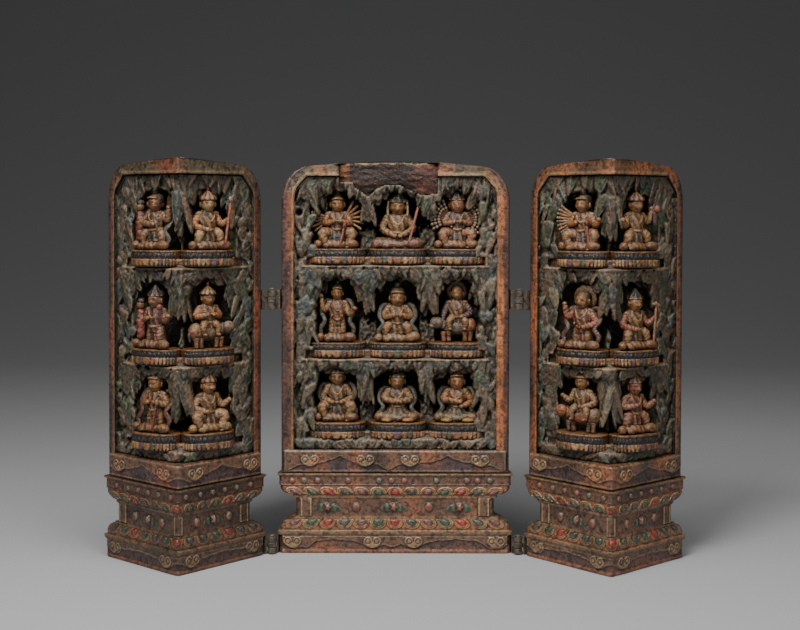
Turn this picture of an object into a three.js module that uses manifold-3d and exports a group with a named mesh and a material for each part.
// A folding shrine box: a carved wooden column that opens into three parts.
// The middle half-column carries nine figures on three shelves, and each quarter-column wing, hung on
// two hinges, carries six. Every part is three pieces: a pedestal, a hollow case that stands on it,
// and the carved scene set into the case. All sizes are in millimetres, +Z is up.
import * as THREE from "three";
import { mergeVertices } from "three/addons/utils/BufferGeometryUtils.js";
import Module from "manifold-3d";

const wasm = await Module();
wasm.setup();

// ---- Driving dimensions ----
const RIM_R = 87.5; // the closed column's radius at the pedestal's rim
const HINGE_OUT = 3.4; // the pins' axis stands this far outside the rim
const OPEN_DEG = 132; // how far each wing stands open, from closed
const MATE_GAP = 0.3; // each mating face stands this far back from the middle plane
const MEET_GAP = 3; // each wing's inner faces stop this far short of each other
const GAP = 0.3; // the fit between two pieces that touch

const PEDESTAL_TOP = 59.8;
const CASE_R = 84.8; // the case's outer wall
const CASE_INSET = RIM_R - CASE_R; // its mating faces stand back from the rim's by the same step
const SHOULDER_Z = 259.8; // the wall runs straight up to here
const SHOULDER_WIDE = 20; // then rounds in by this much
const SHOULDER_TALL = 26.8;
const DOME_RISE = 3.4; // the top is very slightly domed
const EDGE_ROUND = 3.2; // the upright edges of the mating faces

const NICHE_R = 78.6; // the hollow's radius, which leaves a wall of about six
const NICHE_FLOOR = 76.7;
const NICHE_TOP = 279;
const NICHE_CHAMFER_WIDE = 13;
const NICHE_CHAMFER_TALL = 15.2;

const SCENE_INSET = 4.4; // the scenes' front stands back from the mating plane
const SCENE_ROUND = 15; // and is rounded at the wings' corner
const CAVE_HALF_WIDE = 67.5; // the middle scene's caves, between the rocks at the sides
const CAVE_DEEP = 44;
const WING_CAVE_R = 62; // the wings' caves, from the corner of their two faces
const ROOF_SCALLOP = 9; // how far the rocks hang down between two figures

// The three shelves, from the top: where each course of the lotus seats begins and ends.
const TIERS = [
  { floor: 219.5, seatTop: 225.4, roof: 269.5 },
  { floor: 150.2, seatTop: 155.6, roof: 205.5 },
  { floor: 89.5, seatTop: 96.2, roof: 139.5 },
];
const SEAT_X = [-43.5, 1.5, 46]; // the middle scene's three seats
const SEAT_HALF = { wide: 21.5, deep: 14.5 };
const WING_SEAT = { across: 17.5, back: 33, wide: 20, deep: 13, turn: 33 };

const KNUCKLE_R = 3.3;
const PIN_R = 1.2;
const BORE_R = 1.5;
const KNUCKLE_GAP = 0.4;
const LEAF_THICK = 1.2;
const LEAF_START = 2.2; // the leaf begins this far from the mating plane
const LEAF_DEG = 9;
const HINGES = [
  { name: "lower", bottom: 0.8, top: 13.2, wallR: 86 },
  { name: "upper", bottom: 181, top: 195.4, wallR: CASE_R },
];

const HINGE_X = RIM_R + HINGE_OUT;
const rad = THREE.MathUtils.degToRad;

// ---- Joining and cutting ----
function solid(geometry) {
  const bare = geometry.clone();
  bare.deleteAttribute("normal");
  bare.deleteAttribute("uv");
  const merged = mergeVertices(bare, 1e-4);
  return new wasm.Manifold(
    new wasm.Mesh({
      numProp: 3,
      vertProperties: new Float32Array(merged.attributes.position.array),
      triVerts: new Uint32Array(merged.index.array),
    }),
  );
}

function join(solids) {
  return solids.reduce((whole, piece) => whole.add(piece));
}

function toMesh(name, shape, material) {
  const { vertProperties, triVerts } = shape.getMesh();
  const geometry = new THREE.BufferGeometry();
  geometry.setAttribute("position", new THREE.BufferAttribute(vertProperties, 3));
  geometry.setIndex(new THREE.BufferAttribute(triVerts, 1));
  geometry.computeVertexNormals();
  const mesh = new THREE.Mesh(geometry, material);
  mesh.name = name;
  return mesh;
}

// ---- Plain shapes ----
// A closed solid through stacked convex outlines of equal length, each counter-clockwise from above.
function loft(levels) {
  const n = levels[0].outline.length;
  const positions = levels.flatMap(({ z, outline }) => outline.flatMap(([x, y]) => [x, y, z]));
  const faces = [];
  for (let k = 0; k + 1 < levels.length; k++) {
    for (let i = 0; i < n; i++) {
      const j = (i + 1) % n;
      const low = k * n;
      const high = low + n;
      faces.push(low + i, low + j, high + j, low + i, high + j, high + i);
    }
  }
  const last = (levels.length - 1) * n;
  for (let i = 1; i + 1 < n; i++) {
    faces.push(0, i + 1, i);
    faces.push(last, last + i, last + i + 1);
  }
  const geometry = new THREE.BufferGeometry();
  geometry.setAttribute("position", new THREE.Float32BufferAttribute(positions, 3));
  geometry.setIndex(faces);
  return geometry;
}

// A ball stretched to three radii, with its poles up and down.
function ball([rx, ry, rz], [x, y, z], sides = 6, rings = 3) {
  return new THREE.SphereGeometry(1, sides, rings)
    .rotateX(Math.PI / 2)
    .scale(rx, ry, rz)
    .translate(x, y, z);
}

// A tapering bar from one point to another.
function bar(from, to, startR, endR, sides = 4) {
  const a = new THREE.Vector3(...from);
  const b = new THREE.Vector3(...to);
  const along = b.clone().sub(a);
  const turn = new THREE.Quaternion().setFromUnitVectors(
    new THREE.Vector3(0, 1, 0),
    along.clone().normalize(),
  );
  const middle = a.add(b).multiplyScalar(0.5);
  return new THREE.CylinderGeometry(endR, startR, along.length(), sides)
    .applyQuaternion(turn)
    .translate(middle.x, middle.y, middle.z);
}

// An upright disc stretched to two radii, from one height to another.
function disc(wide, deep, low, high, sides) {
  return new THREE.CylinderGeometry(1, 1, high - low, sides)
    .rotateX(Math.PI / 2)
    .scale(wide, deep, 1)
    .translate(0, 0, (low + high) / 2);
}

// An outline in X and Z carried back along +Y.
function carryBack(points, front, back) {
  const shape = new THREE.Shape(points.map(([x, z]) => new THREE.Vector2(x, z)));
  return new THREE.ExtrudeGeometry(shape, { depth: back - front, bevelEnabled: false })
    .rotateX(Math.PI / 2)
    .translate(0, back, 0);
}

// ---- Plans ----
// Half of the column behind the middle plane, with its two front edges rounded.
function halfPlan(r, front, edge = EDGE_ROUND, steps = 12) {
  const end = Math.sqrt(r * r - front * front);
  const start = Math.asin((front + edge) / r);
  const points = [
    [edge - end, front],
    [end - edge, front],
    [end - edge * 0.3, front + edge * 0.3],
  ];
  for (let i = 0; i <= steps; i++) {
    const a = start + ((Math.PI - 2 * start) * i) / steps;
    points.push([r * Math.cos(a), r * Math.sin(a)]);
  }
  points.push([edge * 0.3 - end, front + edge * 0.3]);
  return points;
}

// A quarter of the column in front of the middle plane, on the left (side -1) or right (side 1),
// as it stands when the shrine is closed.
function quarterPlan(side, r, inset, { steps = 6, edge = EDGE_ROUND, corner = 1 } = {}) {
  const x0 = MEET_GAP + inset;
  const y0 = MATE_GAP + inset;
  const endX = Math.sqrt(r * r - y0 * y0);
  const endY = Math.sqrt(r * r - x0 * x0);
  const points = [
    [x0 + corner, y0],
    [endX - edge, y0],
    [endX - edge * 0.3, y0 + edge * 0.3],
  ];
  const start = Math.asin((y0 + edge) / r);
  const stop = Math.acos((x0 + edge) / r);
  for (let i = 0; i <= steps; i++) {
    const a = start + ((stop - start) * i) / steps;
    points.push([r * Math.cos(a), r * Math.sin(a)]);
  }
  points.push([x0 + edge * 0.3, endY - edge * 0.3]);
  points.push([x0, endY - edge]);
  points.push([x0, y0 + corner]);
  if (corner > 2) {
    points.push([x0 + corner * 0.3, y0 + corner * 0.3]);
  }
  const placed = points.map(([x, y]) => [side * x, -y]);
  return side > 0 ? placed.reverse() : placed;
}

// ---- Profiles, from the bottom: [height, step back from the rim] ----
function pedestalProfile() {
  const lowerLotus = [0, 45, 90].map((deg) => {
    const a = rad(deg);
    return [17.4 + 8 * Math.sin(a), 1.4 + 7.8 * (1 - Math.cos(a))];
  });
  const upperLotus = [0, 45, 90].map((deg) => {
    const a = rad(deg);
    return [43.4 + 6.6 * (1 - Math.cos(a)), 10.4 - 8.4 * Math.sin(a)];
  });
  return [
    [0, 1.5],
    [13.4, 1.5],
    [14.2, 0],
    [16.8, 0],
    ...lowerLotus,
    [25.9, 9.9],
    [27.4, 9.9],
    [27.4, 13.5],
    [40.4, 13.5],
    [41.4, 11],
    [43, 11],
    ...upperLotus,
    [50.8, 1],
    [57.2, 1],
    [57.8, 0],
    [PEDESTAL_TOP, 0],
  ];
}

function caseProfile() {
  const rows = [[PEDESTAL_TOP + GAP, CASE_R]];
  for (let deg = 0; deg <= 90; deg += 18) {
    const a = rad(deg);
    const r = CASE_R - SHOULDER_WIDE * (1 - Math.cos(a));
    rows.push([SHOULDER_Z + SHOULDER_TALL * Math.sin(a), r]);
  }
  const flatR = CASE_R - SHOULDER_WIDE;
  for (const share of [0.6, 0.25]) {
    rows.push([SHOULDER_Z + SHOULDER_TALL + DOME_RISE * (1 - share * share), flatR * share]);
  }
  return rows;
}

function nicheProfile(shrink = 0) {
  return [
    [NICHE_FLOOR + shrink, NICHE_R - shrink],
    [NICHE_TOP - NICHE_CHAMFER_TALL, NICHE_R - shrink],
    [NICHE_TOP - shrink, NICHE_R - NICHE_CHAMFER_WIDE - shrink],
  ];
}

// ---- Pedestals ----
// The mouldings are shallower on the faces that meet when the shrine is closed.
function faceStep(inset) {
  return Math.min(inset, 1.5) + Math.max(inset - 1.5, 0) * 0.12;
}

function pedestal(plan) {
  const levels = pedestalProfile().map(([z, inset]) => ({ z, outline: plan(inset) }));
  return solid(loft(levels));
}

function middlePedestal() {
  return pedestal((inset) => halfPlan(RIM_R - inset, MATE_GAP + faceStep(inset)));
}

function wingPedestal(side) {
  return pedestal((inset) => quarterPlan(side, RIM_R - inset, faceStep(inset)));
}

// ---- Cases ----
// The niche is the same hollow in all three cases, carried out through the mating faces.
const MOUTH = -6;

function middleNiche(shrink) {
  return solid(loft(nicheProfile(shrink).map(([z, r]) => ({ z, outline: halfPlan(r, MOUTH, 0.5) }))));
}

function wingNiche(side, shrink) {
  const plan = (r) => quarterPlan(side, r, MOUTH - MEET_GAP, { edge: 0.5 });
  return solid(loft(nicheProfile(shrink).map(([z, r]) => ({ z, outline: plan(r) }))));
}

function hollowCase(plan, niche) {
  const outer = caseProfile().map(([z, r]) => ({ z, outline: plan(r) }));
  return solid(loft(outer)).subtract(niche);
}

// The middle case has lost the front of its top rail: the wood is broken back there.
const BREAK = { left: -42, right: 31, low: 262, back: 9.5 };

function breakCut() {
  const { left, right, low, back } = BREAK;
  const outline = [
    [left, 300],
    [left + 1, 272],
    [-20, low],
    [-9, 272],
    [10, 275],
    [right - 8, 266],
    [right, 267],
    [right, 300],
  ];
  return solid(carryBack(outline.reverse(), -5, back));
}

function middleCase() {
  const front = MATE_GAP + CASE_INSET;
  return hollowCase((r) => halfPlan(r, front), middleNiche(0)).subtract(breakCut());
}

function wingCase(side) {
  return hollowCase((r) => quarterPlan(side, r, CASE_INSET), wingNiche(side, 0));
}

// ---- Figures ----
// Each stands at the origin on top of its seat, facing -Y. Its trunk and head are one turned shape:
// [height as a share of the whole, half width and half depth as shares of the girth].
const TRUNK = [
  [0.28, 0.85, 0.72],
  [0.42, 0.72, 0.6],
  [0.58, 1.12, 0.8],
  [0.67, 0.95, 0.6],
  [0.71, 0.42, 0.42],
  [0.84, 0.72, 0.72],
  [1, 0.3, 0.35],
];
const LAP = [
  [-0.01, 1.5, 0.95],
  [0.09, 1.75, 1.05],
  [0.2, 1.2, 0.85],
];

function trunk({ tall, girth }, rows, sides = 6) {
  const levels = rows.map(([height, wide, deep]) => {
    const outline = Array.from({ length: sides }, (_, i) => {
      const a = (2 * Math.PI * i) / sides;
      return [girth * wide * Math.cos(a), girth * deep * Math.sin(a)];
    });
    return { z: tall * height, outline };
  });
  return loft(levels);
}

function seated(size) {
  return [trunk(size, [...LAP, ...TRUNK.slice(1)])];
}

function standing(size) {
  const { tall, girth } = size;
  const legs = [-1, 1].map((s) =>
    bar([0, 0, tall * 0.36], [s * girth * 0.8, 0, -0.4], girth * 0.6, 2.2),
  );
  const arm = bar([0, 0, tall * 0.6], [girth * 1.7, -3, tall * 0.52], 3, 1.8);
  return [trunk(size, TRUNK), ...legs, arm];
}

// A squatting guardian, its knees wide, with a fan of hands on each side.
function manyArmed(size) {
  const { tall, girth } = size;
  const fans = [-1, 1].map((s) =>
    ball([girth * 0.95, 2.8, tall * 0.22], [s * girth * 1.5, 0.6, tall * 0.56]),
  );
  const legs = [-1, 1].map((s) =>
    bar([s * girth * 0.9, -1, tall * 0.3], [s * girth * 0.85, -1, -0.4], girth * 0.55, 2),
  );
  return [trunk(size, TRUNK), ...fans, ...legs];
}

// A rider on a beast whose head is on the left (way -1) or the right (way 1).
function rider({ tall, girth }, way) {
  const back = tall * 0.36;
  const legs = [-0.8, 0.9].map((x) =>
    bar([x * girth, 0, back], [x * girth * 1.1, 0, -0.4], 3, 1.8),
  );
  const sitter = trunk({ tall: tall * 0.72, girth: girth * 0.78 }, TRUNK);
  return [
    ball([girth * 1.5, 5.5, tall * 0.17], [0, 0, back]),
    bar([0, 0, back], [way * girth * 2.1, -3, back + 2.4], 4.6, 4),
    ...legs,
    sitter.translate(0, 0, tall * 0.28),
  ];
}

const LARGE = { tall: 42, girth: 8 };
const SLIM = { tall: 44, girth: 6 };
const BROAD = { tall: 40, girth: 8.6 };

const MIDDLE_FIGURES = [
  [() => manyArmed(LARGE), () => seated(LARGE), () => manyArmed(BROAD)],
  [() => standing(SLIM), () => manyArmed({ tall: 43, girth: 6.6 }), () => rider(LARGE, -1)],
  [() => seated(BROAD), () => seated({ tall: 41, girth: 8 }), () => seated(BROAD)],
];
const WING_SIZE = { tall: 41, girth: 6.4 };
const LEFT_FIGURES = [
  [() => standing(WING_SIZE), () => standing(WING_SIZE)],
  [() => standing(WING_SIZE), () => seated(WING_SIZE)],
  [() => standing(WING_SIZE), () => standing(WING_SIZE)],
];
const RIGHT_FIGURES = [
  [() => manyArmed(WING_SIZE), () => standing(WING_SIZE)],
  [() => standing(WING_SIZE), () => standing(WING_SIZE)],
  [() => rider(WING_SIZE, -1), () => standing(WING_SIZE)],
];

// A figure and its lotus seat, put in its place and turned.
function onSeat(parts, half, { floor, seatTop }, [x, y], turn) {
  const seat = disc(half.wide, half.deep, floor - 1, seatTop, 8);
  const lifted = parts.map((part) => part.translate(0, 0, seatTop - 0.2));
  return [seat, ...lifted].map((part) => part.rotateZ(turn).translate(x, y, 0));
}

// ---- Scenes ----
// The scalloped outline of a cave: rocks hang down between the figures.
function caveOutline(half, floor, roof, centres) {
  const points = [
    [-half, floor],
    [half, floor],
  ];
  const steps = 8;
  for (let i = 0; i <= steps; i++) {
    const x = half * (1 - (2 * i) / steps);
    const nearest = Math.min(...centres.map((c) => Math.abs(x - c)));
    const drop = ROOF_SCALLOP * Math.min(1, (nearest / 22) ** 2);
    points.push([x, roof - drop]);
  }
  return points;
}

// All that lies behind a scene's front, which is given as a plan wider than the column.
const PAST = 2 * RIM_R;

function behind(outline) {
  return solid(loft([{ z: 0, outline }, { z: NICHE_TOP + 10, outline }]));
}

// A rock tapering down from the roof between two figures.
function pendant(x, y, roof, length) {
  return bar([x, y, roof + 2], [x, y, roof - length], 6.5, 1.6, 4);
}

function middleScene() {
  const front = MATE_GAP + SCENE_INSET;
  let scene = middleNiche(GAP).intersect(behind(halfPlan(PAST, front, 1)));
  const carved = [];
  TIERS.forEach((tier, row) => {
    const outline = caveOutline(CAVE_HALF_WIDE, tier.floor, tier.roof, SEAT_X);
    const reach = disc(CAVE_HALF_WIDE + 3, CAVE_DEEP, tier.floor - 5, tier.roof + 5, 12);
    const cave = solid(carryBack(outline, -CAVE_DEEP, CAVE_DEEP + 5));
    scene = scene.subtract(cave.intersect(solid(reach.translate(0, front, 0))));
    SEAT_X.forEach((x, column) => {
      const parts = MIDDLE_FIGURES[row][column]();
      const place = [x, front + SEAT_HALF.deep + 0.4];
      carved.push(...onSeat(parts, SEAT_HALF, tier, place, 0));
    });
    if (row > 0) {
      carved.push(pendant(-21, 15, tier.roof - 4, 22), pendant(24, 15, tier.roof - 4, 20));
    }
  });
  return join([scene, ...carved.map(solid)]).subtract(breakCut());
}

// A wing's scene is laid out in its own directions: u to the right and v straight back from the
// corner between its two faces.
function wingScene(side, figures) {
  const face = quarterPlan(side, PAST, SCENE_INSET, { edge: 1, corner: SCENE_ROUND });
  const settle = (shape) =>
    shape.rotateZ(rad(side < 0 ? 135 : 225)).translate(side * MEET_GAP, -MATE_GAP, 0);
  let block = wingNiche(side, GAP).intersect(behind(face));
  const carved = [];
  TIERS.forEach((tier, row) => {
    const { across, back, wide, deep, turn } = WING_SEAT;
    const outline = caveOutline(60, tier.floor, tier.roof, [-across, across]);
    const reach = disc(WING_CAVE_R, WING_CAVE_R, tier.floor - 5, tier.roof + 5, 10);
    const cave = carryBack(outline, -WING_CAVE_R, WING_CAVE_R + 5);
    block = block.subtract(solid(settle(cave)).intersect(solid(settle(reach))));
    [-1, 1].forEach((hand, column) => {
      const parts = figures[row][column]();
      const place = [hand * across, back];
      carved.push(...onSeat(parts, { wide, deep }, tier, place, rad(hand * turn)));
    });
    carved.push(pendant(0, 21, tier.roof - 4, 26));
  });
  return join([block, ...carved.map((shape) => solid(settle(shape)))]);
}

// ---- Hinges ----
// One knuckle and the arm that ties it to its leaf. The pin's axis is the origin, the wall is towards
// the column's middle, and the leaf lies on +Y (way 1) or -Y (way -1).
function knuckle(side, wall, way, low, high) {
  const arm = new THREE.BoxGeometry(wall, 2, high - low)
    .translate((-side * wall) / 2, way * (LEAF_START + 0.2), (low + high) / 2);
  return solid(disc(KNUCKLE_R, KNUCKLE_R, low, high, 8)).add(solid(arm));
}

// A leaf bent round the wall, which it meets with its inner side.
function leafPlate(side, wallR, way, low, high) {
  const outer = wallR + GAP + LEAF_THICK;
  const inner = wallR + GAP;
  const start = Math.asin(LEAF_START / inner);
  const outline = [];
  const steps = 1;
  for (let i = 0; i <= steps; i++) {
    const a = start + (rad(LEAF_DEG) * i) / steps;
    outline.push([side * (outer * Math.cos(a) - HINGE_X), way * outer * Math.sin(a)]);
  }
  for (let i = steps; i >= 0; i--) {
    const a = start + (rad(LEAF_DEG) * i) / steps;
    outline.push([side * (inner * Math.cos(a) - HINGE_X), way * inner * Math.sin(a)]);
  }
  const shape = new THREE.Shape(outline.map(([x, y]) => new THREE.Vector2(x, y)));
  const plate = new THREE.ExtrudeGeometry(shape, { depth: high - low, bevelEnabled: false });
  return solid(plate.translate(0, 0, low));
}

function leaf(side, { bottom, top, wallR }, way, shares) {
  const wall = HINGE_X - wallR - GAP - LEAF_THICK / 2;
  const tall = top - bottom;
  const parts = shares.map(([from, to]) => {
    const low = bottom + tall * from + (from > 0 ? KNUCKLE_GAP / 2 : 0);
    const high = bottom + tall * to - (to < 1 ? KNUCKLE_GAP / 2 : 0);
    return knuckle(side, wall, way, low, high);
  });
  parts.push(leafPlate(side, wallR, way, bottom, top));
  const bore = solid(disc(BORE_R, BORE_R, bottom - 1, top + 1, 6));
  return join(parts).subtract(bore);
}

function pin({ bottom, top }) {
  const shank = disc(PIN_R, PIN_R, bottom, top + GAP + 0.6, 6);
  const head = ball([2.2, 2.2, 1.1], [0, 0, top + GAP + 1.1], 8, 3);
  return solid(shank).add(solid(head));
}

// ---- Materials ----
function material(color, roughness, metalness = 0) {
  return new THREE.MeshStandardMaterial({ color, roughness, metalness });
}

const lacquer = material(0x6e5038, 0.55);
const pedestalPaint = material(0x5c4232, 0.55);
const rockPaint = material(0x4b5046, 0.7);
const bronze = material(0x4a4034, 0.5, 0.9);

// ---- Assembly ----
const shrine = new THREE.Group();
shrine.add(
  toMesh("centre_base", middlePedestal(), pedestalPaint),
  toMesh("centre_case", middleCase(), lacquer),
  toMesh("centre_scene", middleScene(), rockPaint),
);

// A wing is drawn closed, about its hinge axis, and then opened.
for (const [side, name, figures] of [
  [-1, "left", LEFT_FIGURES],
  [1, "right", RIGHT_FIGURES],
]) {
  const closed = new THREE.Group();
  closed.position.x = -side * HINGE_X;
  closed.add(
    toMesh(`${name}_base`, wingPedestal(side), pedestalPaint),
    toMesh(`${name}_case`, wingCase(side), lacquer),
    toMesh(`${name}_scene`, wingScene(side, figures), rockPaint),
  );
  const wing = new THREE.Group();
  wing.position.x = side * HINGE_X;
  wing.rotation.z = side * rad(OPEN_DEG);
  wing.add(closed);
  shrine.add(wing);

  for (const hinge of HINGES) {
    const fixed = leaf(side, hinge, 1, [[0, 1 / 3], [2 / 3, 1]]);
    const moving = leaf(side, hinge, -1, [[1 / 3, 2 / 3]]);
    const fixedLeaf = toMesh(`${name}_${hinge.name}_hinge_fixed_leaf`, fixed, bronze);
    const hingePin = toMesh(`${name}_${hinge.name}_hinge_pin`, pin(hinge), bronze);
    fixedLeaf.position.x = side * HINGE_X;
    hingePin.position.x = side * HINGE_X;
    shrine.add(fixedLeaf, hingePin);
    wing.add(toMesh(`${name}_${hinge.name}_hinge_wing_leaf`, moving, bronze));
  }
}

// The origin is on the floor, in the middle of the open shrine's width and depth.
const box = new THREE.Box3().setFromObject(shrine, true);
shrine.position.y = -(box.min.y + box.max.y) / 2;

export default shrine;
